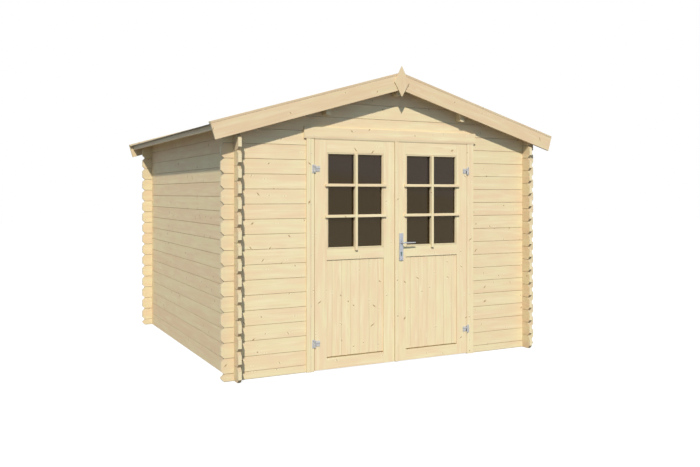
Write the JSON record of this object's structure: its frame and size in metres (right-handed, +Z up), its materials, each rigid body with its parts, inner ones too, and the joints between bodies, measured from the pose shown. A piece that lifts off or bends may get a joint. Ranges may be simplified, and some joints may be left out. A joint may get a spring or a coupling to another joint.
{
  "type": "log cabin",
  "caption": "Square timber log cabin with half-glazed double doors, projecting log corners and a shallow felted gable roof.",
  "frame": {"origin": "on the ground in the middle of the cabin's plan, on the underside of the middle floor bearer", "axes": "+X along the door front, to the right of someone facing the doors; +Y from the door front to the rear wall; +Z up"},
  "size_m": [3.214, 3.034, 2.4467],
  "materials": {
    "log_timber": "planed pale softwood, untreated",
    "trim_timber": "planed pale softwood, untreated",
    "door_timber": "planed pale softwood, untreated",
    "roof_timber": "planed pale softwood, untreated",
    "floor_timber": "planed pale softwood, untreated",
    "felt": "mineral-faced bitumen felt",
    "glass": "clear float glass",
    "hinge_steel": "zinc-plated steel",
    "handle_metal": "satin",
    "lock_metal": "satin"
  },
  "bodies": {
    "cabin": {"left_wall": "log_timber", "right_wall": "log_timber", "rear_wall": "log_timber", "rear_gable": "log_timber", "front_wall_left": "log_timber", "front_wall_right": "log_timber", "front_gable": "log_timber", "ridge_purlin": "roof_timber", "side_purlins": "roof_timber", "roof_boards_left": "roof_timber", "roof_boards_right": "roof_timber", "roof_felt_left": "felt", "roof_felt_right": "felt", "ridge_felt": "felt", "eave_boards": "trim_timber", "front_gable_boards": "trim_timber", "rear_gable_boards": "trim_timber", "front_cap_laths": "trim_timber", "rear_cap_laths": "trim_timber", "finial": "trim_timber", "door_jamb_left": "door_timber", "door_jamb_right": "door_timber", "door_head": "door_timber", "door_sill": "door_timber", "header_board": "door_timber", "floor_bearers": "floor_timber", "floor_deck": "floor_timber", "hinge_plates": "hinge_steel"},
    "left_door": {"left_door_stiles": "door_timber", "left_door_rails": "door_timber", "left_door_panel": "door_timber", "left_door_glass": "glass", "left_door_beads": "door_timber", "left_hinge_straps": "hinge_steel"},
    "right_door": {"right_door_stiles": "door_timber", "right_door_rails": "door_timber", "right_door_panel": "door_timber", "right_door_glass": "glass", "right_door_beads": "door_timber", "right_hinge_straps": "hinge_steel", "cover_strip": "door_timber", "handle_plates": "handle_metal", "lock_cylinder": "lock_metal"},
    "lever": {"lever_handle": "handle_metal"}
  },
  "joints": [
    {"name": "left_door_hinge", "type": "hinge", "parent": "cabin", "child": "left_door", "pos_m": [-0.7325, -1.409, 0.9], "axis": [0, 0, -1], "range_deg": [0, 165]},
    {"name": "right_door_hinge", "type": "hinge", "parent": "cabin", "child": "right_door", "pos_m": [0.7325, -1.409, 0.9], "axis": [0, 0, 1], "range_deg": [0, 165]},
    {"name": "lever_turn", "type": "hinge", "parent": "right_door", "child": "lever", "pos_m": [0.06, -1.402, 0.995], "axis": [0, 1, 0], "range_deg": [0, 40], "stiffness_Nm_per_rad": 1.2, "springref_deg": -22.92}
  ]
}
